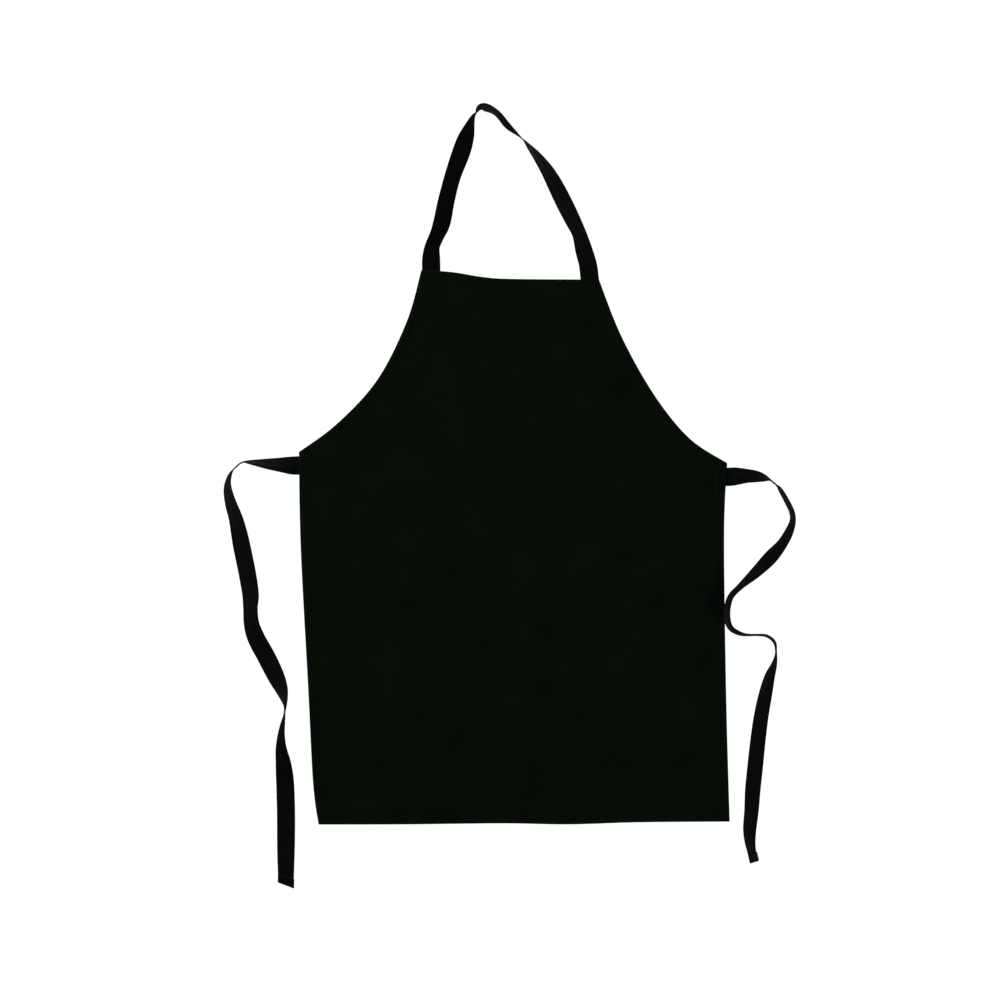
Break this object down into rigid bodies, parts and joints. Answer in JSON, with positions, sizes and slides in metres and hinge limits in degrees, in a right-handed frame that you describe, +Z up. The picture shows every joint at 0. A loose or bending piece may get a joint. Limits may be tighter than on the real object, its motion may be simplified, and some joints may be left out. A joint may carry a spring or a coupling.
{
  "type": "bib apron",
  "caption": "Plain black bib apron laid flat and face up, with a tape neck loop, curled waist ties, turned hems and stitched tape ends.",
  "frame": {"origin": "middle of the panel's box, on the surface that the apron lies on", "axes": "+Z up from that surface, out of the front of the cloth; +Y from the skirt to the bib; +X toward the side on the right when looking at the front with the bib at the top"},
  "size_m": [0.7868, 1.0746, 0.0254],
  "materials": {
    "cloth": "matt black cotton twill",
    "hem": "matt black cotton twill, turned twice",
    "tape": "matt black woven cotton tape",
    "thread": "black spun polyester thread"
  },
  "bodies": {
    "skirt": {"skirt_panel": "cloth", "side_hem_left": "hem", "side_hem_right": "hem", "bottom_hem": "hem", "side_hem_stitching_left": "thread", "side_hem_stitching_right": "thread", "bottom_hem_stitching": "thread", "waist_tie_left_sewn_end": "tape", "waist_tie_left_box_stitch": "thread", "waist_tie_right_sewn_end": "tape", "waist_tie_right_box_stitch": "thread"},
    "bib": {"bib_panel": "cloth", "top_hem": "hem", "top_hem_stitching": "thread", "armhole_hem_left": "hem", "armhole_hem_right": "hem", "armhole_stitching_left": "thread", "armhole_stitching_right": "thread", "neck_strap_left_sewn_end": "tape", "neck_strap_left_box_stitch": "thread", "neck_strap_right_sewn_end": "tape", "neck_strap_right_box_stitch": "thread"},
    "neck_loop": {"neck_strap": "tape"},
    "tie_left_lead": {"waist_tie_left_lead": "tape"},
    "tie_left_run": {"waist_tie_left_run": "tape", "waist_tie_left_end_hem": "tape"},
    "tie_right_lead": {"waist_tie_right_lead": "tape"},
    "tie_right_run": {"waist_tie_right_run": "tape", "waist_tie_right_end_hem": "tape"}
  },
  "joints": [
    {"name": "bib_fold", "type": "hinge", "parent": "skirt", "child": "bib", "pos_m": [-0.0017, 0.1234, 0.003], "axis": [0.9997, -0.0258, 0], "range_deg": [0, 170]},
    {"name": "neck_loop_fold", "type": "hinge", "parent": "bib", "child": "neck_loop", "pos_m": [-0.0053, 0.3755, 0.0024], "axis": [-0.9984, 0.0559, 0], "range_deg": [-150, 0]},
    {"name": "tie_left_fold", "type": "hinge", "parent": "skirt", "child": "tie_left_lead", "pos_m": [-0.2976, 0.1124, 0.0005], "axis": [0, 1, 0], "range_deg": [0, 90]},
    {"name": "tie_left_swing", "type": "hinge", "parent": "tie_left_lead", "child": "tie_left_run", "pos_m": [-0.3802, 0.1113, 0.0127], "axis": [0, 0, -1], "range_deg": [0, 100]},
    {"name": "tie_right_fold", "type": "hinge", "parent": "skirt", "child": "tie_right_lead", "pos_m": [0.2937, 0.0968, 0.0005], "axis": [0, -1, 0], "range_deg": [0, 65]},
    {"name": "tie_right_swing", "type": "hinge", "parent": "tie_right_lead", "child": "tie_right_run", "pos_m": [0.3561, 0.0895, 0.0127], "axis": [0, 0, 1], "range_deg": [0, 100]}
  ]
}
